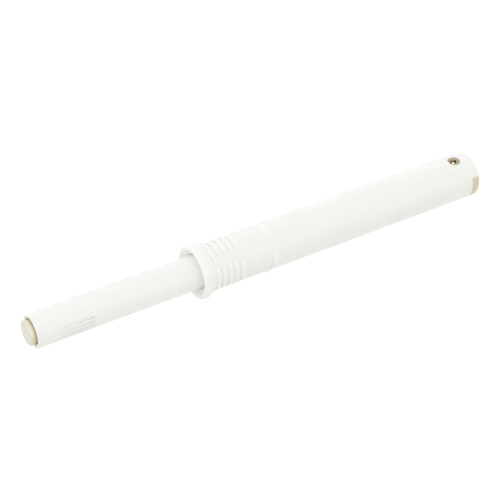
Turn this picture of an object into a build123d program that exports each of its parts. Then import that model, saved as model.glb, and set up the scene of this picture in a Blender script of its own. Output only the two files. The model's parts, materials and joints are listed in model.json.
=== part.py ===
from build123d import *
from math import asin, degrees, radians, sin
import os

# Push-to-open catch for a drilled hole, in millimetres.
# +X runs from the flange into the drilled hole, the plunger points to -X, +Z is up.
# The origin is on the axis, in the plane where the flange seats on the panel.

# ---------------------------------------------------------------- housing
housing_r = 5.0            # plain shank, for a 10 mm drilled hole
housing_depth = 68.05      # flange seat to rear end
housing_wall = 0.85        # wall around the main bore
rear_round = 0.7           # outer edge of the rear end
flange_lip = 0.86          # flange beyond the shank
flange_thick = 1.75
flange_front_round = 0.6
flange_back_round = 0.35
root_cone_height = 0.3     # cone behind the flange, centres the sleeve in the hole's edge
root_cone_length = 2.1
bush_length = 8.6          # flange seat to the shoulder that stops the plunger
dish_depth = 0.95          # the flange's front is dished down to the bush
dish_rim = 0.88            # width of the rim around the dish
dish_round = 0.9

# barbs: steep towards the flange, gentle ramp towards the rear
barb_count = 5
barb_first = 1.3           # steep face of the first barb
barb_pitch = 1.45
barb_height = 0.13
side_barb_height = 0.2
barb_ramp = 1.25
root_barb_height = 0.22    # the first barb stands on the cone
stop_rib_x = 14.5          # higher rib that ends the barbed zone
stop_rib_length = 1.4
stop_rib_height = 0.22
low_rib_lead = 0.75        # the rib below sits this much nearer the flange
land_places = (18.6, 28.8, 39.4, 52.4)  # low steps along the top and bottom of the shank
land_height = 0.05
land_ramp = 5.0
top_sector = 54.0          # degrees of arc of the barbs on top and below
side_sector = 62.0         # degrees of arc of the barbs on the sides
side_middle = 85.0         # the side sectors sit a little above the middle
root_barb_sector = 94.0    # the first barb on top reaches further round
side_rib_sector = 50.0
low_rib_sector = 100.0

# rear openings
leg_window_r = 1.37        # round hole over the follower wire's leg
leg_window_from_end = 4.35
notch_width = 4.6          # side notches that key the end plug
notch_depth = 2.08

# guide grooves for the keys of core and plug
groove_width = 1.6
groove_depth = 0.35
key_clear = 0.1

# ---------------------------------------------------------------- fits
run_clear = 0.07           # radial running clearance of the sliding pieces
push_clear = 0.02          # radial clearance of pieces pushed in to stay
face_gap = 0.05            # axial gap between faces that meet at a stop

# ---------------------------------------------------------------- plunger
stroke = 35.7
bush_step = 0.57           # shoulder between main bore and plunger bush
tube_wall = 0.86
tube_proud = 0.1           # tube end in front of the flange when fully pressed
tube_round = 0.3
tip_chamfer = 0.25
snap_width = 1.0           # bead on the core that holds the tube, and its groove
snap_height = 0.25
snap_from_collar = 2.2

grip_length = 7.5          # wedge-shaped grip grooves on both sides of the tip
grip_from_end = 4.55
grip_width = 0.38
grip_shallow = 0.08        # depth at the front end
grip_depth = 0.26          # and at the rear end
grip_count = 4
grip_spacing = 15.0        # degrees between grooves

# ---------------------------------------------------------------- core and latch track
collar_length = 2.0
tail_clear = 0.3           # radial, between core tail and spring
rear_gap = 0.5             # core tail to end plug when fully pressed
spigot_length = 3.6        # full round stretch of the core in front of the collar
core_top = -0.05           # flat top of the core, under the follower wire
track_half = 1.8           # half width of the track
track_floor = -1.25
island_half = 0.8          # half width of the heart-shaped island
island_length = 5.0        # island's rear point to the bottom of its notch
notch_reach = 0.85         # prongs in front of the bottom of the notch
overtravel = 2.0           # press beyond the latched place
tip_end_clear = 0.3
window_clear = 0.15        # follower wire in the window through the collar
gate_height = 0.45         # tooth that turns the follower to one side
gate_half = 0.42
gate_offset = 0.2
nose_wall = 1.2            # core in front of the track
nose_length = 6.0          # full round nose that turns in the tube
mouth_flare = 0.45
mouth_length = 1.2
island_drop = 0.1          # island's top below the core's top

# ---------------------------------------------------------------- follower wire
wire_r = 0.4
wire_bend_r = 0.7
wire_level = 0.75          # height of the long leg
wire_end_gap = 0.3         # top of the rear leg below the plug's boss
tip_floor_clear = 0.12
follower_entry = 2.0       # tip of the follower ahead of the core's rear end

# ---------------------------------------------------------------- end plug
plug_length = 7.5
pivot_clear = 0.08
boss_depth = 0.3           # boss in the round window, below the shank's surface
boss_lead = 0.8            # ramp that lets the boss snap in
pit_r = 0.7                # pit around the leg's upper end
pit_depth = 0.6
pit_shift = 0.12
slot_clear = 0.25
plug_chamfer = 0.15
seat_gap = 0.05            # keys in the side notches

# ---------------------------------------------------------------- main spring
spring_wire_r = 0.25
spring_clear = 0.1         # spring to main bore
spring_turns = 12
spring_facets = 8          # sides of the wire's section, for a light coil

# ---------------------------------------------------------------- magnet and its seat
cap_clear = 0.08           # radial, cap in the tube
cap_proud = 1.0            # cap in front of the tube end
cap_length = 3.4
cap_wall = 0.45
cap_face = 0.8
cap_bevel = 0.1
magnet_length = 1.8
glue_gap = 0.03
turn_clear = 0.05          # thread of the seat in the tube
adjust_in = 0.8            # the magnet can go back by this
adjust_out = 2.4           # and out by this
tongue_width = 1.4
tongue_height = 3.4
tongue_spare = 0.9         # tongue still in its slot with the magnet fully out
tongue_clear = 0.1

# ---------------------------------------------------------------- derived places
flange_r = housing_r + flange_lip
bore_r = housing_r - housing_wall
plunger_r = bore_r - bush_step
bush_r = plunger_r + run_clear
tube_bore_r = plunger_r - tube_wall
core_r = tube_bore_r - run_clear
cap_r = tube_bore_r - cap_clear
flange_front = -flange_thick
tube_front = flange_front - tube_proud - stroke
collar_front = bush_length + face_gap
collar_rear = collar_front + collar_length
tube_rear = collar_front - face_gap
collar_r = bore_r - run_clear
plug_front = housing_depth - plug_length
core_rear = plug_front - stroke - rear_gap
spring_mean_r = bore_r - spring_clear - spring_wire_r
tail_r = spring_mean_r - spring_wire_r - tail_clear
leg_x = housing_depth - leg_window_from_end
boss_top = housing_r - boss_depth
tip_x = core_rear - follower_entry
lane_y = (track_half + island_half) / 2
swing = degrees(asin(lane_y / (leg_x - tip_x)))
track_front = tip_x - stroke - wire_r - tip_end_clear
notch_bottom = tip_x - stroke + overtravel + wire_r
nose_rear = track_front - nose_wall
nose_front = nose_rear - nose_length
snap_x = collar_front - snap_from_collar
cap_front = tube_front - cap_proud
cap_rear = cap_front + cap_length
seat_front = cap_rear
seat_rear = nose_front - adjust_in - tongue_clear
tongue_rear = nose_front + adjust_out + tongue_spare
tongue_slot = tongue_rear + adjust_in + tongue_clear
window_half = lane_y + wire_r + window_clear
window_top = wire_level + wire_r + window_clear
over = 0.2                 # how far cutting tools and fused pieces reach past a face


def rod(radius, x0, x1):
    """Cylinder on the X axis from x0 to x1."""
    return Pos((x0 + x1) / 2, 0, 0) * Rot(0, 90, 0) * Cylinder(radius, x1 - x0)


def block(x0, x1, half_y, z0, z1):
    """Box from x0 to x1 and z0 to z1, centred on Y."""
    return Pos((x0 + x1) / 2, 0, (z0 + z1) / 2) * Box(x1 - x0, 2 * half_y, z1 - z0)


def upright(radius, x, z0, z1):
    """Cylinder along Z at x."""
    return Pos(x, 0, (z0 + z1) / 2) * Cylinder(radius, z1 - z0)


def turned(corners, sector=360.0, middle=0.0):
    """Turn an outline of (x, r, corner round) about the X axis, over a sector centred on an angle
    from +Z, positive towards -Y."""
    points = [(x, r) for x, r, _ in corners]
    rounds = [corner_round for _, _, corner_round in corners]
    outline = FilletPolyline(*points, radius=rounds, close=True)
    solid = revolve(Plane.XZ * make_face(outline), Axis.X, revolution_arc=sector)
    return Rot(middle - sector / 2, 0, 0) * solid


def tooth(x, height, length, ramp, sector, middle):
    """One barb on the shank: steep at x, level for length, then a ramp down to the rear."""
    crest = housing_r + height
    corners = [(x, housing_r - over, 0), (x, crest, 0)]
    if length > 0:
        corners.append((x + length, crest, 0))
    corners += [(x + length + ramp, housing_r, 0), (x + length + ramp, housing_r - over, 0)]
    return turned(corners, sector, middle)


def barbs():
    """All raised features of the shank, in sectors that leave four plain strips."""
    low_rib_x = stop_rib_x - low_rib_lead
    rows = [  # middle, sector and height of the barbs, sector of the root barb, place and sector of the rib
        (0, top_sector, barb_height, root_barb_sector, stop_rib_x, top_sector),
        (180, top_sector, barb_height, root_barb_sector, low_rib_x, low_rib_sector),
        (side_middle, side_sector, side_barb_height, side_sector, stop_rib_x, side_rib_sector),
        (-side_middle, side_sector, side_barb_height, side_sector, stop_rib_x, side_rib_sector),
    ]
    teeth = []
    for middle, sector, height, root_sector, rib_x, rib_sector in rows:
        teeth.append(tooth(barb_first, root_barb_height, 0, barb_ramp, root_sector, middle))
        for i in range(1, barb_count):
            teeth.append(tooth(barb_first + i * barb_pitch, height, 0, barb_ramp, sector, middle))
        teeth.append(tooth(rib_x, stop_rib_height, stop_rib_length, over, rib_sector, middle))
    for middle in (0, 180):
        for x in land_places:
            teeth.append(tooth(x, land_height, 0, land_ramp, top_sector, middle))
    return teeth


def housing():
    """Sleeve with flange, barbs, plunger bush and main bore."""
    sleeve = turned([
        (flange_front + dish_depth, bush_r, 0),
        (flange_front, flange_r - dish_rim, dish_round),
        (flange_front, flange_r, flange_front_round),
        (0, flange_r, flange_back_round),
        (0, housing_r + root_cone_height, 0),
        (root_cone_length, housing_r, 0),
        (housing_depth, housing_r, rear_round),
        (housing_depth, bore_r, 0),
        (bush_length, bore_r, 0),
        (bush_length, bush_r, 0),
    ])
    sleeve += barbs()
    sleeve -= upright(leg_window_r, leg_x, 0, housing_r + over)
    sleeve -= block(housing_depth - notch_depth, housing_depth + over, housing_r + over,
                    -notch_width / 2, notch_width / 2)
    sleeve -= block(bush_length, housing_depth + over, bore_r + groove_depth,
                    -groove_width / 2, groove_width / 2)
    return sleeve


def guide_keys(x0, x1):
    """Pair of keys that run in the housing's guide grooves."""
    half = groove_width / 2 - key_clear
    return block(x0, x1, bore_r + groove_depth - key_clear, -half, half)


def end_plug():
    """Rear plug: keyed into the side notches, holds the follower wire's leg, seats the spring."""
    radius = bore_r - push_clear
    plug = turned([
        (plug_front, 0, 0),
        (plug_front, radius, 0),
        (housing_depth - plug_chamfer, radius, 0),
        (housing_depth, radius - plug_chamfer, 0),
        (housing_depth, 0, 0),
    ])
    notch_x = housing_depth - notch_depth
    rear_shell = turned([
        (notch_x + seat_gap, 0, 0),
        (notch_x + seat_gap, housing_r, 0),
        (housing_depth, housing_r, rear_round),
        (housing_depth, 0, 0),
    ])
    notch_half = notch_width / 2 - seat_gap
    plug += rear_shell & block(notch_x, housing_depth + over, housing_r + over, -notch_half, notch_half)
    plug += guide_keys(plug_front, housing_depth - plug_chamfer)
    boss_r = leg_window_r - seat_gap
    boss_side = Polyline((leg_x - boss_r, 0), (leg_x - boss_r, radius),
                         (leg_x - boss_r + boss_lead, boss_top), (leg_x + boss_r, boss_top),
                         (leg_x + boss_r, 0), close=True)
    plug += upright(boss_r, leg_x, 0, housing_r) & extrude(Plane.XZ * make_face(boss_side), boss_r, both=True)
    slot_half = wire_r + slot_clear + (leg_x - plug_front) * sin(radians(swing))
    slot_top = wire_level + wire_r + slot_clear
    plug -= block(plug_front - over, leg_x, slot_half, -housing_r, slot_top)
    plug -= upright(slot_half, leg_x, -housing_r, slot_top)
    plug -= upright(wire_r + pivot_clear, leg_x, 0, housing_r)
    plug -= upright(pit_r, leg_x - pit_shift, boss_top - pit_depth, housing_r)
    return plug


def follower_wire():
    """Bent steel wire: rear leg up in the end plug, front leg down in the track."""
    leg_top = boss_top - wire_end_gap
    tip_bottom = track_floor + tip_floor_clear
    path = FilletPolyline((leg_x, 0, leg_top), (leg_x, 0, wire_level), (tip_x, 0, wire_level),
                          (tip_x, 0, tip_bottom), radius=wire_bend_r)
    section = Plane((leg_x, 0, leg_top), z_dir=(0, 0, -1)) * Circle(wire_r)
    wire = sweep(section, path)
    ends = wire.edges().filter_by(GeomType.CIRCLE).sort_by(Axis.Z)
    wire = fillet([ends[0], ends[-1]], wire_r / 2)
    return Pos(leg_x, 0, 0) * Rot(0, 0, -swing) * Pos(-leg_x, 0, 0) * wire


def heart_island():
    """Heart-shaped island of the latch track, its notch open to the front."""
    rear_point = notch_bottom + island_length
    front = notch_bottom - notch_reach
    outline = FilletPolyline((rear_point, 0), (notch_bottom + notch_reach, island_half),
                             (front, island_half), (front, -island_half),
                             (notch_bottom + notch_reach, -island_half),
                             radius=[wire_r / 2, wire_r, wire_r / 4, wire_r / 4, wire_r], close=True)
    notch_r = wire_r + push_clear
    notch = Pos(notch_bottom - notch_r, 0) * Circle(notch_r)
    notch += Pos(notch_bottom - notch_r - notch_reach, 0) * Rectangle(2 * notch_reach, 2 * notch_r)
    height = core_top - island_drop - track_floor + over
    return Pos(0, 0, track_floor - over) * extrude(make_face(outline) - notch, height)


def gate_tooth():
    """Tooth in front of the island that turns the follower from one lane to the other."""
    outline = Polyline((track_front - over, gate_offset - gate_half), (track_front, gate_offset - gate_half),
                       (track_front + gate_height, gate_offset), (track_front, gate_offset + gate_half),
                       (track_front - over, gate_offset + gate_half), close=True)
    height = core_top - track_floor + over
    return Pos(0, 0, track_floor - over) * extrude(make_face(outline), height)


def cam_core():
    """Plunger core: collar with keys, spring tail, latch track, nose with the seat's slot."""
    spigot_front = collar_front - spigot_length
    core = rod(core_r, nose_front, collar_front + over)
    core += rod(collar_r, collar_front, collar_rear)
    core += guide_keys(collar_front, collar_rear)
    core += rod(tail_r, collar_rear - over, core_rear)
    bead_side = (snap_width / 2, core_r - over, 0), (snap_width / 2 - snap_height, core_r + snap_height, 0)
    core += Pos(snap_x, 0, 0) * turned([
        (-bead_side[0][0], bead_side[0][1], 0), (-bead_side[1][0], bead_side[1][1], 0),
        bead_side[1], bead_side[0],
    ])
    core -= block(nose_rear, spigot_front, bore_r, core_top, bore_r)
    core -= block(collar_rear, core_rear + over, bore_r, core_top, bore_r)
    core -= block(spigot_front - over, collar_rear + over, window_half, core_top, window_top)
    core -= block(track_front, core_rear + over, track_half, track_floor, core_top + over)
    mouth = Polyline((core_rear - mouth_length, -track_half), (core_rear + over, -track_half - mouth_flare),
                     (core_rear + over, track_half + mouth_flare), (core_rear - mouth_length, track_half),
                     close=True)
    core -= Pos(0, 0, track_floor) * extrude(make_face(mouth), core_top - track_floor + over)
    core -= block(nose_front - over, tongue_slot, tongue_width / 2 + tongue_clear,
                  -tongue_height / 2 - tongue_clear, tongue_height / 2 + tongue_clear)
    core += heart_island()
    core += gate_tooth()
    return core


def plunger_tube():
    """Plunger tube: turns on the core, and its bore drives the magnet seat."""
    groove_r = core_r + snap_height + run_clear
    groove_half = snap_width / 2 + run_clear
    tube = turned([
        (tube_front, tube_bore_r + tip_chamfer, 0),
        (tube_front, plunger_r, tube_round),
        (tube_rear, plunger_r, tube_round / 2),
        (tube_rear, tube_bore_r, 0),
        (snap_x + groove_half, tube_bore_r, 0),
        (snap_x + groove_half, groove_r, 0),
        (snap_x - groove_half, groove_r, 0),
        (snap_x - groove_half, tube_bore_r, 0),
        (tube_front + tip_chamfer, tube_bore_r, 0),
    ])
    grip_front = tube_front + grip_from_end
    grip_rear = grip_front + grip_length
    wedge = Polyline((grip_front, plunger_r - grip_shallow), (grip_rear, plunger_r - grip_depth),
                     (grip_rear, plunger_r + over), (grip_front, plunger_r + over), close=True)
    cutter = extrude(Plane.XZ * make_face(wedge), grip_width / 2, both=True)
    cutters = []
    for side in (90, -90):
        for i in range(grip_count):
            cutters.append(Rot(side + (i - (grip_count - 1) / 2) * grip_spacing, 0, 0) * cutter)
    return tube - cutters


def main_spring():
    """Compression spring between the core's collar and the end plug, ends ground flat."""
    height = plug_front - collar_rear
    pitch = height / spring_turns
    coil = Helix(pitch, height + pitch, spring_mean_r, center=(collar_rear - pitch / 2, 0, 0),
                 direction=(1, 0, 0))
    section = Plane(coil @ 0, z_dir=coil % 0) * RegularPolygon(spring_wire_r, spring_facets)
    spring = sweep(section, coil, is_frenet=True)
    return spring & rod(bore_r, collar_rear, plug_front)


def pole_cap():
    """Steel cup in front of the magnet, with a bevelled rim."""
    inner_r = cap_r - cap_wall
    return turned([
        (cap_front, 0, 0),
        (cap_front, cap_r - cap_bevel, 0),
        (cap_front + cap_bevel, cap_r, 0),
        (cap_rear, cap_r, 0),
        (cap_rear, inner_r, 0),
        (cap_front + cap_face, inner_r, 0),
        (cap_front + cap_face, 0, 0),
    ])


def tip_magnet():
    """Magnet disc glued into the cap."""
    front = cap_front + cap_face
    return rod(cap_r - cap_wall - glue_gap, front, front + magnet_length)


def magnet_seat():
    """Seat that carries cap and magnet, screwed into the tube, with a tongue in the core's nose."""
    magnet_rear = cap_front + cap_face + magnet_length
    seat = rod(tube_bore_r - turn_clear, seat_front, seat_rear)
    seat += rod(cap_r - cap_wall - glue_gap, magnet_rear + glue_gap, seat_front + over)
    seat += block(seat_rear - over, tongue_rear, tongue_width / 2, -tongue_height / 2, tongue_height / 2)
    return seat


pieces = {
    "housing": housing,
    "end_plug": end_plug,
    "main_spring": main_spring,
    "follower_wire": follower_wire,
    "cam_core": cam_core,
    "plunger_tube": plunger_tube,
    "pole_cap": pole_cap,
    "tip_magnet": tip_magnet,
    "magnet_seat": magnet_seat,
}

os.makedirs("parts", exist_ok=True)
for name, make in pieces.items():
    export_step(make(), f"parts/{name}.step")
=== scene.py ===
import json
import math
from collections import namedtuple

import bpy
from mathutils import Matrix, Vector


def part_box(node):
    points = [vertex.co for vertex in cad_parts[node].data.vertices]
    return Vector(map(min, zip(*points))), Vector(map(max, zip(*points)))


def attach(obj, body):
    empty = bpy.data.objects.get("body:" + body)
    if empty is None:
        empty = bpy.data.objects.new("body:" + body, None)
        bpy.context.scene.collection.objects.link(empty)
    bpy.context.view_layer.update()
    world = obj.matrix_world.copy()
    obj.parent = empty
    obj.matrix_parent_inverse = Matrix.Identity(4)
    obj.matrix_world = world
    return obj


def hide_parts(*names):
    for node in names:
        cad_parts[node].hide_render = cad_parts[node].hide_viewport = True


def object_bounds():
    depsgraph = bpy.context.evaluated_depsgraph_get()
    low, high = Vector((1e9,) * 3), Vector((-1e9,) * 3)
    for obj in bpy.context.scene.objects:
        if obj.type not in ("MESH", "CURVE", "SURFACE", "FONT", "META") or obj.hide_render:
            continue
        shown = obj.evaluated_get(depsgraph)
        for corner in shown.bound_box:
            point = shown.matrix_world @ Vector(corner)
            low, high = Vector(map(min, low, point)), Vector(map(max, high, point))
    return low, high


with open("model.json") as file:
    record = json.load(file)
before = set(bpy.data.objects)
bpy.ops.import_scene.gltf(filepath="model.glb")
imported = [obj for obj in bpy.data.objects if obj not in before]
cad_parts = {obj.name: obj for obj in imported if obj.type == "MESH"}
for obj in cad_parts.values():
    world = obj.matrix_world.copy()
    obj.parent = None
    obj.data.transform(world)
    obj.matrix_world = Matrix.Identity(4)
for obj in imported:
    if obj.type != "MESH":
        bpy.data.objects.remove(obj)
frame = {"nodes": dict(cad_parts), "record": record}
cad_lo, cad_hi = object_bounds()
scene = bpy.context.scene

# Push-to-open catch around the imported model. +X runs from the flange into the drilled hole, the plunger
# points to -X and +Z is up. Sizes of the sleeve and of colour tones are in millimetres, angles in degrees,
# and everything else is in metres, as Blender has it.
MM = 0.001


def in_mm(length):
    """A length from the frame in millimetres, to a thousandth."""
    return round(length / MM, 3)


# ---------------------------------------------------------------- sleeve sizes
housing_lo, housing_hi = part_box("housing")
FRONT = in_mm(housing_lo.x)   # flange's front; the flange seats on the panel at 0
DEPTH = in_mm(housing_hi.x)   # rear end
RIM_R = in_mm(housing_hi.z)   # flange
SHANK_R = 5.0
BORE_R = 4.15
BUSH_R = 3.65                 # narrower bore that guides the plunger
BUSH_END = 8.6
FRONT_ROUND = 0.6             # flange's front edge
BACK_ROUND = 0.35             # flange's back edge
REAR_ROUND = 0.7              # edge of the rear end
DISH_DEPTH = 0.95             # the flange's front is dished down to the bush
DISH_RIM = 0.88
DISH_ROUND = 0.9
CONE_R = SHANK_R + 0.3        # cone behind the flange
CONE_END = 2.1
WINDOW_X = DEPTH - 4.35       # round window over the follower wire's leg
WINDOW_R = 1.37
NOTCH_X = DEPTH - 2.08        # side notches at the rear end
NOTCH_HALF = 2.3
GROOVE_R = BORE_R + 0.35      # guide grooves in the bore's sides
GROOVE_HALF = 0.8
PAST_END = 1.0                # cutters reach this far beyond what they cut

# barbs: a steep face towards the flange and a gentle ramp behind it
BARB_FIRST = 1.3              # steep face of the first barb, which stands on the cone
BARB_PITCH = 1.45
BARB_COUNT = 5
BARB_RAMP = 1.25
ROOT_BARB_HEIGHT = 0.22
STEEP = 0.06                  # run of a steep face
FOOT_RUN = 0.5                # shallow valley before a steep face
FOOT_SHARE = 0.7              # its depth as a share of the barb's height
SECTOR_EDGE = 1.2             # degrees over which a barb's ends fall off
RIB_HEIGHT = 0.22             # stop rib that ends the barbed zone
RIB_LEVEL = 0.4
RIB_RAMP = 1.2
RIB_RUN = 0.3                 # softer face of the stop ribs above and below
SIDE_RIB_VALLEY = 0.06        # valley before the stop ribs at the sides
LAND_PLACES = (18.6, 28.8, 39.4, 52.4)  # low steps along the top and bottom of the shank
LAND_HEIGHT = 0.05
LAND_RAMP = 5.0
LAND_HALF = 27                # degrees
UP_AND_DOWN = (0, 180)        # middles of the sectors above and below, in degrees from +Z

# the four sectors around the shank: middle and half widths in degrees, barb height, stop rib's place
Sector = namedtuple("Sector", "middle half height root_half rib_x rib_half")
SECTORS = (
    Sector(middle=0, half=27, height=0.13, root_half=47, rib_x=14.5, rib_half=27),
    Sector(middle=180, half=27, height=0.13, root_half=47, rib_x=13.75, rib_half=50),
    Sector(middle=85, half=31, height=0.2, root_half=31, rib_x=14.5, rib_half=25),
    Sector(middle=-85, half=31, height=0.2, root_half=31, rib_x=14.5, rib_half=25),
)

# specks of mould flash along the parting line
Speck = namedtuple("Speck", "start end height")
FLASH = (Speck(0.2, 2.6, 0.12), Speck(22.2, 22.8, 0.08), Speck(28.2, 28.7, 0.08),
         Speck(37.7, 38.3, 0.08), Speck(44.2, 44.6, 0.08))
FLASH_HALF = 1.3              # degrees
FLASH_FADE = 0.1              # run over which a speck starts and ends
PARTING = 86                  # degrees from +Z to the parting line

# fineness of the skin
RING_STEP = 1.5
TURN_STEP = 3.0               # degrees
RELIEF_RING = 0.15            # one more ring this far behind a change of slope
SAME_PLACE = 1e-3             # lines closer than this are one


# ---------------------------------------------------------------- node helpers
NOISE_LOW, NOISE_HIGH = 0.3, 0.7    # most of a noise's values lie between these


def tree(name):
    """New node material with an empty tree but its output and one Principled shader."""
    mat = bpy.data.materials.new(name)
    mat.use_nodes = True
    nt = mat.node_tree
    nt.nodes.clear()
    out = nt.nodes.new("ShaderNodeOutputMaterial")
    bsdf = nt.nodes.new("ShaderNodeBsdfPrincipled")
    nt.links.new(bsdf.outputs["BSDF"], out.inputs["Surface"])
    return mat, nt, bsdf


def noise(nt, scale, detail, rough, stretch=(1, 1, 1)):
    """Noise over the object's own coordinates."""
    coords = nt.nodes.new("ShaderNodeTexCoord")
    mapping = nt.nodes.new("ShaderNodeMapping")
    mapping.inputs["Scale"].default_value = stretch
    tex = nt.nodes.new("ShaderNodeTexNoise")
    tex.inputs["Scale"].default_value = scale
    tex.inputs["Detail"].default_value = detail
    tex.inputs["Roughness"].default_value = rough
    nt.links.new(coords.outputs["Object"], mapping.inputs["Vector"])
    nt.links.new(mapping.outputs["Vector"], tex.inputs["Vector"])
    return tex.outputs["Fac"]


def ramp(nt, source, stops):
    """Colour that runs through stops of place and colour."""
    node = nt.nodes.new("ShaderNodeValToRGB")
    elements = node.color_ramp.elements
    while len(elements) < len(stops):
        elements.new(0.5)
    for element, (place, colour) in zip(elements, stops):
        element.position = place
        element.color = (*colour, 1.0)
    nt.links.new(source, node.inputs["Fac"])
    return node.outputs["Color"]


def spread(nt, source, low, high):
    """Noise turned into a value that runs from low to high."""
    node = nt.nodes.new("ShaderNodeMapRange")
    node.inputs["From Min"].default_value = NOISE_LOW
    node.inputs["From Max"].default_value = NOISE_HIGH
    node.inputs["To Min"].default_value = low
    node.inputs["To Max"].default_value = high
    nt.links.new(source, node.inputs["Value"])
    return node.outputs["Result"]


def bump(nt, bsdf, source, strength, distance):
    """Fine relief from a source of height."""
    node = nt.nodes.new("ShaderNodeBump")
    node.inputs["Strength"].default_value = strength
    node.inputs["Distance"].default_value = distance
    nt.links.new(source, node.inputs["Height"])
    nt.links.new(node.outputs["Normal"], bsdf.inputs["Normal"])


def maths(nt, operation, *values):
    """Math node's result; each value is a number or a socket."""
    node = nt.nodes.new("ShaderNodeMath")
    node.operation = operation
    for socket, value in zip(node.inputs, values):
        if isinstance(value, float):
            socket.default_value = value
        else:
            nt.links.new(value, socket)
    return node.outputs[0]


def mix_colours(nt, factor, first, second, blend="MIX"):
    """Two colours mixed by a factor, each given as a value or as a socket."""
    mix = nt.nodes.new("ShaderNodeMix")
    mix.data_type = "RGBA"
    mix.blend_type = blend
    if isinstance(factor, float):
        mix.inputs["Factor"].default_value = factor
    else:
        nt.links.new(factor, mix.inputs["Factor"])
    for slot, colour in (("A", first), ("B", second)):
        if isinstance(colour, tuple):
            mix.inputs[slot].default_value = (*colour, 1.0)
        else:
            nt.links.new(colour, mix.inputs[slot])
    return mix.outputs["Result"]


def distance_from(nt, centre, axes):
    """Distance in metres from a centre, over the axes given as 1."""
    coords = nt.nodes.new("ShaderNodeTexCoord")
    flat = nt.nodes.new("ShaderNodeMapping")
    flat.inputs["Scale"].default_value = axes
    away = nt.nodes.new("ShaderNodeVectorMath")
    away.operation = "DISTANCE"
    away.inputs[1].default_value = centre
    nt.links.new(coords.outputs["Object"], flat.inputs["Vector"])
    nt.links.new(flat.outputs["Vector"], away.inputs[0])
    return away.outputs["Value"]


# ---------------------------------------------------------------- materials
WHITE = (1.0, 1.0, 1.0)
FROM_PLANE = (1, 0, 0)        # distance along the part
FROM_AXIS = (0, 1, 1)         # distance from the part's axis
FROM_UPRIGHT = (1, 1, 0)      # distance from an upright line
BEIGE = (0.70, 0.645, 0.475)
BEIGE_SHADE = (0.66, 0.605, 0.43)


def plastic(name, light, dark, rough, glow):
    """Satin acetal: faint flow mottling, fine grain, a little light through the skin."""
    mat, nt, bsdf = tree(name)
    flow = noise(nt, scale=260.0, detail=4.0, rough=0.55, stretch=(0.25, 1, 1))
    nt.links.new(ramp(nt, flow, [(0.32, dark), (0.68, light)]), bsdf.inputs["Base Color"])
    grain = noise(nt, scale=5200.0, detail=2.0, rough=0.6)
    nt.links.new(spread(nt, flow, rough - 0.04, rough + 0.04), bsdf.inputs["Roughness"])
    bump(nt, bsdf, grain, strength=0.12, distance=0.00002)
    bsdf.inputs["IOR"].default_value = 1.55
    bsdf.inputs["Subsurface Weight"].default_value = glow
    bsdf.inputs["Subsurface Radius"].default_value = (1.0, 0.95, 0.8)
    bsdf.inputs["Subsurface Scale"].default_value = 0.0006
    return mat


def metal(name, light, dark, rough, stretch):
    """Plated or drawn steel: fine brushed streaks in colour, roughness and relief."""
    mat, nt, bsdf = tree(name)
    streak = noise(nt, scale=900.0, detail=4.0, rough=0.6, stretch=stretch)
    nt.links.new(ramp(nt, streak, [(0.3, dark), (0.7, light)]), bsdf.inputs["Base Color"])
    nt.links.new(spread(nt, streak, rough - 0.06, rough + 0.06), bsdf.inputs["Roughness"])
    bump(nt, bsdf, streak, strength=0.15, distance=0.00001)
    bsdf.inputs["Metallic"].default_value = 1.0
    return mat


def painted_light_tones(mat, centre_x, axes, reach, stops):
    """Multiplies the base colour by tones of painted light and shade, which run with the distance from a
    centre on the part's axis. The centre, the reach and the stops' distances are in millimetres."""
    nt = mat.node_tree
    colour = nt.nodes["Principled BSDF"].inputs["Base Color"]
    share = nt.nodes.new("ShaderNodeMapRange")
    share.inputs["From Max"].default_value = reach * MM
    nt.links.new(distance_from(nt, (centre_x * MM, 0, 0), axes), share.inputs["Value"])
    tone = ramp(nt, share.outputs["Result"], [(distance / reach, shade) for distance, shade in stops])
    nt.links.new(mix_colours(nt, 1.0, colour.links[0].from_socket, tone, "MULTIPLY"), colour)
    return mat


def sleeve_plastic():
    """White, with a painted highlight: raised ribs, lands and the flange are a little lighter than the
    shank.
    """
    white = plastic("sleeve_plastic", (0.9375, 0.942, 0.9115), (0.9165, 0.921, 0.885), rough=0.33, glow=0.2)
    shank = (0.96, 0.96, 0.96)
    # painted highlight: what stands out of the shank (ribs, lands, flange) is made lighter, as if it caught
    # more light
    return painted_light_tones(white, 0.0, FROM_AXIS, reach=6.0, stops=[
        (SHANK_R + 0.01, shank), (SHANK_R + 0.118, WHITE),
    ])


def tube_plastic():
    """White, with painted shade in the grip grooves: they are a little darker than the tube around and
    inside them.
    """
    white = plastic("tube_plastic", (0.91, 0.914, 0.89), (0.89, 0.894, 0.865), rough=0.34, glow=0.2)
    outside = in_mm(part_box("plunger_tube")[1].z)
    painted_groove_shade = (0.965, 0.965, 0.96)
    # painted shade: the floors of the grip grooves are darker, as if shade lay in them
    return painted_light_tones(white, 0.0, FROM_AXIS, reach=4.0, stops=[
        (outside - 0.228, WHITE), (outside - 0.18, painted_groove_shade),
        (outside - 0.064, painted_groove_shade), (outside - 0.032, WHITE),
    ])


def plug_plastic():
    """Beige, with painted shade in the round window: the boss there is tan, with a painted black shadow in
    the hollow beside the wire's end.
    """
    beige = plastic("plug_plastic", BEIGE, BEIGE_SHADE, rough=0.42, glow=0.15)
    # painted shade: tan over the boss in the round window, and a painted black shadow in the hollow beside
    # the wire's end
    painted_pit_shadow = (0.1, 0.08, 0.06)
    tan = (0.72, 0.60, 0.52)
    return painted_light_tones(beige, WINDOW_X + 0.3, FROM_UPRIGHT, reach=2.0, stops=[
        (0.34, painted_pit_shadow), (0.5, tan), (1.4, tan), (1.48, WHITE),
    ])


def core_plastic():
    """Beige, as the plug."""
    return plastic("core_plastic", BEIGE, BEIGE_SHADE, rough=0.42, glow=0.15)


def spring_steel():
    """Drawn wire, dull."""
    return metal("spring_steel", (0.58, 0.58, 0.57), (0.5, 0.5, 0.49), rough=0.3, stretch=(1, 1, 1))


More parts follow.
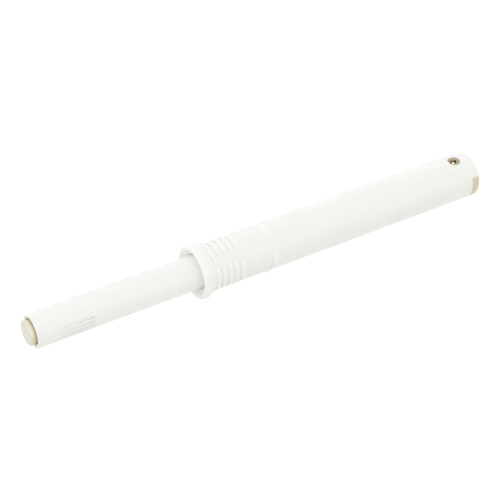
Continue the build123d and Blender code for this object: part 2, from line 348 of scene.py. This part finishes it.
def wire_steel():
    """Drawn wire, bright, streaked along its run."""
    return metal("wire_steel", (0.8, 0.78, 0.75), (0.7, 0.68, 0.66), rough=0.22, stretch=(0.2, 1, 1))


def cap_nickel():
    """Nickel, with painted shade on the cap's side: from the bevel back it is darker and yellower than its
    face, most of all where it sits in the tube's bore.
    """
    nickel = metal("cap_nickel", (0.73, 0.72, 0.64), (0.70, 0.685, 0.605), rough=0.48, stretch=(0.3, 1, 1))
    before_face = in_mm(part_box("pole_cap")[0].x) - 0.05
    # painted shade: the cap's side darkens and yellows back from the bevel, deepest where it sits in the
    # tube's bore
    deepest_painted_shade = (0.62, 0.58, 0.43)
    return painted_light_tones(nickel, before_face, FROM_PLANE, reach=2.4, stops=[
        (0.0576, WHITE), (0.108, (0.92, 0.91, 0.85)), (0.6, (0.87, 0.84, 0.69)),
        (0.864, (0.77, 0.74, 0.57)), (1.128, deepest_painted_shade), (1.44, deepest_painted_shade), (1.8, (0.9, 0.87, 0.75)),
    ])


def magnet_nickel():
    """Thin plating on the magnet."""
    return metal("magnet_nickel", (0.7, 0.69, 0.66), (0.64, 0.63, 0.6), rough=0.3, stretch=(1, 1, 1))


finish = {
    "sleeve_plastic": sleeve_plastic(),
    "tube_plastic": tube_plastic(),
    "plug_plastic": plug_plastic(),
    "core_plastic": core_plastic(),
    "spring_steel": spring_steel(),
    "wire_steel": wire_steel(),
    "cap_nickel": cap_nickel(),
    "magnet_nickel": magnet_nickel(),
}


# ---------------------------------------------------------------- nodes of the CAD
NODE_CREASE = 28              # edges sharper than this stay crisp, in degrees
SKIN_CREASE = 32
WELD_GAP = 0.000002           # metres
FACE_WEIGHT = 90              # large faces lead the shading of their borders


def crisp_edges(piece, angle):
    """Splits the shading at edges sharper than the angle."""
    split = piece.modifiers.new("split", "EDGE_SPLIT")
    split.split_angle = math.radians(angle)


slot_of = {part["node"]: part["material_slot"] for part in frame["record"]["subparts"]}
for name, node in frame["nodes"].items():
    node.data.materials.clear()
    node.data.materials.append(finish[slot_of[name]])
    weld = node.modifiers.new("weld", "WELD")
    weld.merge_threshold = WELD_GAP
    crisp_edges(node, NODE_CREASE)
    even = node.modifiers.new("even", "WEIGHTED_NORMAL")
    even.weight = FACE_WEIGHT


# ---------------------------------------------------------------- sleeve skin
Tooth = namedtuple("Tooth", "x height level ramp middle half run valley")


def sector_teeth(sector):
    """The root barb, the barbs and the stop rib of one sector."""
    middle, foot = sector.middle, FOOT_SHARE * sector.height
    yield Tooth(BARB_FIRST, ROOT_BARB_HEIGHT, 0.0, BARB_RAMP, middle, sector.root_half, STEEP, foot)
    for i in range(1, BARB_COUNT):
        x = BARB_FIRST + BARB_PITCH * i
        yield Tooth(x, sector.height, 0.0, BARB_RAMP, middle, sector.half, STEEP, foot)
    run, valley = (RIB_RUN, 0.0) if middle in UP_AND_DOWN else (STEEP, SIDE_RIB_VALLEY)
    yield Tooth(sector.rib_x, RIB_HEIGHT, RIB_LEVEL, RIB_RAMP, middle, sector.rib_half, run, valley)


def all_teeth():
    """Everything that stands out of the shank: place, height, level stretch, ramp, middle and half of its
    sector in degrees, run of its steep face, and depth of the valley before it."""
    made = [tooth for sector in SECTORS for tooth in sector_teeth(sector)]
    for x in LAND_PLACES:
        for middle in UP_AND_DOWN:
            made.append(Tooth(x, LAND_HEIGHT, 0.0, LAND_RAMP, middle, LAND_HALF, STEEP, 0.0))
    return made


def fade(distance, width):
    """0 at a border and 1 from width inside it."""
    return min(max(distance / width, 0.0), 1.0)


def turn_between(first, second):
    """Degrees between two directions, 0 to 180."""
    return abs((first - second + 180) % 360 - 180)


def shank_radius(x, angle, teeth):
    """Radius of the shank at x and at an angle from +Z."""
    root = CONE_R + (SHANK_R - CONE_R) * min(x / CONE_END, 1.0)
    radius, valley = root, 0.0
    for tooth in teeth:
        start, end = tooth.x, tooth.x + tooth.level + tooth.ramp
        part = fade(tooth.half - turn_between(angle, tooth.middle), SECTOR_EDGE)
        up = fade(x - start, tooth.run)
        if start < x < end:
            crest = SHANK_R + tooth.height * up * fade(end - x, tooth.ramp)
            radius = max(radius, root + (crest - root) * part)
        if start - FOOT_RUN < x < start + tooth.run:
            valley = max(valley, tooth.valley * part * (1 - up) * fade(x - start + FOOT_RUN, FOOT_RUN))
    radius -= valley
    for speck in FLASH:
        if speck.start < x < speck.end:
            ridge = fade(FLASH_HALF - turn_between(turn_between(angle, 0), PARTING), FLASH_HALF)
            radius += speck.height * ridge * fade(min(x - speck.start, speck.end - x), FLASH_FADE)
    return radius


def grid_lines(marks, low, high, step):
    """Marks within the range, and even lines between them where they lie far apart."""
    marks = sorted({round(m, 4) for m in marks if low < m < high} | {low, high})
    made = [low]
    for mark in marks[1:]:
        gap = mark - made[-1]
        if gap < SAME_PLACE:
            continue
        parts = max(1, math.ceil(gap / step))
        first = made[-1]
        made += [first + gap * (i + 1) / parts for i in range(parts)]
    return made


def skin_grid(teeth):
    """Places of the rings along the shank and angles of the lines around it."""
    marks = [CONE_END]
    angles = [0.0]
    for tooth in teeth:
        top, end = tooth.x + tooth.level, tooth.x + tooth.level + tooth.ramp
        marks += [tooth.x - FOOT_RUN, tooth.x, tooth.x + tooth.run, tooth.x + tooth.run + RELIEF_RING,
                  top, end, end + RELIEF_RING]
        for side in (-1, 1):
            border = tooth.middle + side * tooth.half
            angles += [border % 360, (border - side * SECTOR_EDGE) % 360]
    for speck in FLASH:
        marks += [speck.start, speck.start + FLASH_FADE, speck.end - FLASH_FADE, speck.end]
    for middle in (PARTING, 360 - PARTING):
        angles += [middle - FLASH_HALF, middle, middle + FLASH_HALF]
    along = grid_lines(marks, 0.0, DEPTH - REAR_ROUND, RING_STEP)
    around = grid_lines(angles, 0.0, 360.0, TURN_STEP)[:-1]
    return along, around


def arc(cx, cr, radius, start, end, steps=7):
    """Points of a rounded corner in the (x, r) plane, angles in degrees from +x towards +r."""
    angles = [math.radians(start + (end - start) * i / steps) for i in range(steps + 1)]
    return [(cx + radius * math.cos(a), cr + radius * math.sin(a)) for a in angles]


def flange_profile():
    """From the bush over the dish and the rim to the panel."""
    slope = math.degrees(math.atan2(DISH_DEPTH, RIM_R - DISH_RIM - BUSH_R))
    crown = RIM_R - DISH_RIM + DISH_ROUND * math.tan(math.radians(slope / 2))
    dish = [(FRONT + DISH_DEPTH, BUSH_R)] + arc(FRONT + DISH_ROUND, crown, DISH_ROUND, 180 + slope, 180)
    rim = arc(FRONT + FRONT_ROUND, RIM_R - FRONT_ROUND, FRONT_ROUND, 180, 90)
    back = arc(-BACK_ROUND, RIM_R - BACK_ROUND, BACK_ROUND, 90, 0, 4)
    return dish + rim + back


def rear_profile():
    """From the shank over the rear edge, back along the bore and into the bush."""
    edge = arc(DEPTH - REAR_ROUND, SHANK_R - REAR_ROUND, REAR_ROUND, 90, 0)
    return edge[1:] + [(DEPTH, BORE_R), (BUSH_END, BORE_R), (BUSH_END, BUSH_R)]


def sleeve_skin():
    """The sleeve as a fine grid, turned from its profile, with barbs, ribs and lands raised on it."""
    teeth = all_teeth()
    along, around = skin_grid(teeth)
    rings = [[point] * len(around) for point in flange_profile()]
    rings += [[(x, shank_radius(x, a, teeth)) for a in around] for x in along]
    rings += [[point] * len(around) for point in rear_profile()]
    verts = [(x * MM, -r * MM * math.sin(math.radians(a)), r * MM * math.cos(math.radians(a)))
             for ring in rings for (x, r), a in zip(ring, around)]
    count = len(around)
    faces = []
    for k in range(len(rings)):
        here, there = k * count, (k + 1) % len(rings) * count
        for j in range(count):
            nxt = (j + 1) % count
            faces.append((here + j, there + j, there + nxt, here + nxt))
    return verts, faces


def new_object(name, verts, faces):
    """Mesh object in the scene, from points in metres."""
    mesh = bpy.data.meshes.new(name)
    mesh.from_pydata(verts, [], faces)
    made = bpy.data.objects.new(name, mesh)
    scene.collection.objects.link(made)
    return made


def box_cutter(name, x0, x1, half_y, half_z):
    """Box around the part's axis, in millimetres."""
    corners = [(x * MM, y * half_y * MM, z * half_z * MM)
               for x in (x0, x1) for y in (-1, 1) for z in (-1, 1)]
    sides = [(0, 1, 3, 2), (4, 6, 7, 5), (0, 4, 5, 1), (2, 3, 7, 6), (0, 2, 6, 4), (1, 5, 7, 3)]
    return new_object(name, corners, sides)


def round_cutter(name, x, radius, z0, z1, sides=96):
    """Upright cylinder, in millimetres."""
    turn = [2 * math.pi * i / sides for i in range(sides)]
    verts = [((x + radius * math.cos(a)) * MM, radius * math.sin(a) * MM, z * MM)
             for z in (z0, z1) for a in turn]
    walls = [(i, (i + 1) % sides, sides + (i + 1) % sides, sides + i) for i in range(sides)]
    return new_object(name, verts, walls + [tuple(reversed(range(sides))), tuple(range(sides, 2 * sides))])


def cut_out(solid, cutters):
    """Cuts the openings and keeps the result as the solid's own mesh."""
    for cutter in cutters:
        cut = solid.modifiers.new("cut", "BOOLEAN")
        cut.object = cutter
        cut.operation = "DIFFERENCE"
        cut.solver = "EXACT"
    bpy.context.view_layer.update()
    seen = solid.evaluated_get(bpy.context.evaluated_depsgraph_get())
    mesh = bpy.data.meshes.new_from_object(seen)
    solid.modifiers.clear()
    solid.data = mesh
    for cutter in cutters:
        bpy.data.objects.remove(cutter)


skin = new_object("sleeve_skin", *sleeve_skin())
cut_out(skin, [
    round_cutter("window", WINDOW_X, WINDOW_R, 0, SHANK_R + PAST_END),
    box_cutter("notch", NOTCH_X, DEPTH + PAST_END, SHANK_R + PAST_END, NOTCH_HALF),
    box_cutter("grooves", BUSH_END, DEPTH + PAST_END, GROOVE_R, GROOVE_HALF),
])
for face in skin.data.polygons:
    face.use_smooth = True
crisp_edges(skin, SKIN_CREASE)
skin.data.materials.clear()
skin.data.materials.append(finish["sleeve_plastic"])
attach(skin, "sleeve")
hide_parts("housing")


# ---------------------------------------------------------------- camera
CAMERA_PLACE = (-0.125612, -0.204704, 0.219287)
AZIMUTH = -33.94
ELEVATION = 41.59
ROLL = 4.03


def look(azimuth, elevation, roll):
    """Camera axes as columns for a view from azimuth and elevation, turned by roll, in degrees."""
    a, e, r = map(math.radians, (azimuth, elevation, roll))
    back = Vector((math.sin(a) * math.cos(e), -math.cos(a) * math.cos(e), math.sin(e)))
    right = Vector((math.cos(a), math.sin(a), 0.0))
    up = back.cross(right)
    tilted = right * math.cos(r) + up * math.sin(r)
    return Matrix((tilted, back.cross(tilted), back)).transposed()


camera = bpy.data.objects.new("camera", bpy.data.cameras.new("camera"))
scene.collection.objects.link(camera)
scene.camera = camera
camera.data.lens = 115.2
camera.data.sensor_width = 36.0
camera.data.shift_x = -0.001
camera.data.shift_y = 0.001
camera.data.clip_start = 0.01
camera.data.clip_end = 10.0
camera.matrix_world = Matrix.Translation(CAMERA_PLACE) @ look(AZIMUTH, ELEVATION, ROLL).to_4x4()


# ---------------------------------------------------------------- floor
FLOOR_DROP = 0.06             # below the object
FLOOR_HALF = 4.0
FLOOR_BOUNCE = (0.80, 0.80, 0.75)   # its colour for the light that it throws back
FLOOR_LIFT = (0.08, 0.08, 0.08)     # its own glow for the eye, so that it shows white


def eye_mix(nt, lit, seen):
    """Colour that is lit for the light it throws, and seen where the camera, a reflection or a clear
    piece looks at it."""
    path = nt.nodes.new("ShaderNodeLightPath")
    looks = path.outputs["Is Camera Ray"]
    for kind in ("Is Glossy Ray", "Is Transmission Ray"):
        looks = maths(nt, "MAXIMUM", looks, path.outputs[kind])
    return mix_colours(nt, looks, lit, seen)


def white_floor():
    """White for the eye apart from the object's shadow, and a little darker for the light."""
    mat, nt, bsdf = tree("floor_white")
    nt.links.new(eye_mix(nt, FLOOR_BOUNCE, WHITE), bsdf.inputs["Base Color"])
    bsdf.inputs["Roughness"].default_value = 1.0
    bsdf.inputs["Specular IOR Level"].default_value = 0.0
    nt.links.new(eye_mix(nt, (0.0, 0.0, 0.0), FLOOR_LIFT), bsdf.inputs["Emission Color"])
    bsdf.inputs["Emission Strength"].default_value = 1.0
    return mat


floor_z = cad_lo.z - FLOOR_DROP
corners = [(x * FLOOR_HALF, y * FLOOR_HALF, floor_z) for x, y in ((-1, -1), (1, -1), (1, 1), (-1, 1))]
floor = new_object("floor", corners, [(0, 1, 2, 3)])
floor.data.materials.append(white_floor())


# ---------------------------------------------------------------- light
TENT_LIGHT = (0.977, 0.977, 0.977)
TENT_SIDE = (-1.0, 0.0, 0.0)  # where the tent is a little brighter, beyond the plunger's tip
TENT_SIDE_GAIN = 0.22
TENT_SIDE_FALL = 2.0          # power by which this falls off
TENT_ROOF = (1.38, 1.38, 1.38)      # what gloss shows above and behind
TENT_FRONT = (1.45, 1.45, 1.45)     # and in front
TENT_EDGE = 0.5               # distance in front of the edge between them, over its height
TENT_BLEND = 0.06             # half of that edge's soft width


def tent_glow(nt, way):
    """The even light of the tent, with a soft lobe at its side."""
    side = nt.nodes.new("ShaderNodeVectorMath")
    side.operation = "DOT_PRODUCT"
    side.inputs[1].default_value = TENT_SIDE
    nt.links.new(way, side.inputs[0])
    lobe = maths(nt, "POWER", maths(nt, "MAXIMUM", side.outputs["Value"], 0.0), TENT_SIDE_FALL)
    glow = nt.nodes.new("ShaderNodeVectorMath")
    glow.operation = "SCALE"
    glow.inputs[0].default_value = TENT_LIGHT
    nt.links.new(maths(nt, "MULTIPLY_ADD", lobe, TENT_SIDE_GAIN, 1.0), glow.inputs["Scale"])
    return glow.outputs[0]


def tent_reflection(nt, way):
    """What gloss shows: a front and a roof with a soft edge between them."""
    parts = nt.nodes.new("ShaderNodeSeparateXYZ")
    nt.links.new(way, parts.inputs["Vector"])
    edge = nt.nodes.new("ShaderNodeMapRange")
    edge.interpolation_type = "SMOOTHSTEP"
    edge.inputs["From Min"].default_value = -TENT_BLEND
    edge.inputs["From Max"].default_value = TENT_BLEND
    lean = maths(nt, "MULTIPLY_ADD", parts.outputs["Z"], TENT_EDGE, parts.outputs["Y"])
    nt.links.new(lean, edge.inputs["Value"])
    return mix_colours(nt, edge.outputs["Result"], TENT_FRONT, TENT_ROOF)


def tent_world():
    """A white tent all around: white for the camera, brighter in gloss than in its even light."""
    world = bpy.data.worlds.new("studio")
    world.use_nodes = True
    nt = world.node_tree
    nt.nodes.clear()
    out = nt.nodes.new("ShaderNodeOutputWorld")
    air = nt.nodes.new("ShaderNodeBackground")
    way = nt.nodes.new("ShaderNodeTexCoord").outputs["Generated"]
    path = nt.nodes.new("ShaderNodeLightPath")
    colour = mix_colours(nt, path.outputs["Is Glossy Ray"], tent_glow(nt, way), tent_reflection(nt, way))
    colour = mix_colours(nt, path.outputs["Is Camera Ray"], colour, WHITE)
    nt.links.new(colour, air.inputs["Color"])
    air.inputs["Strength"].default_value = 1.0
    nt.links.new(air.outputs["Background"], out.inputs["Surface"])
    return world


scene.world = tent_world()
scene.view_settings.view_transform = "Standard"
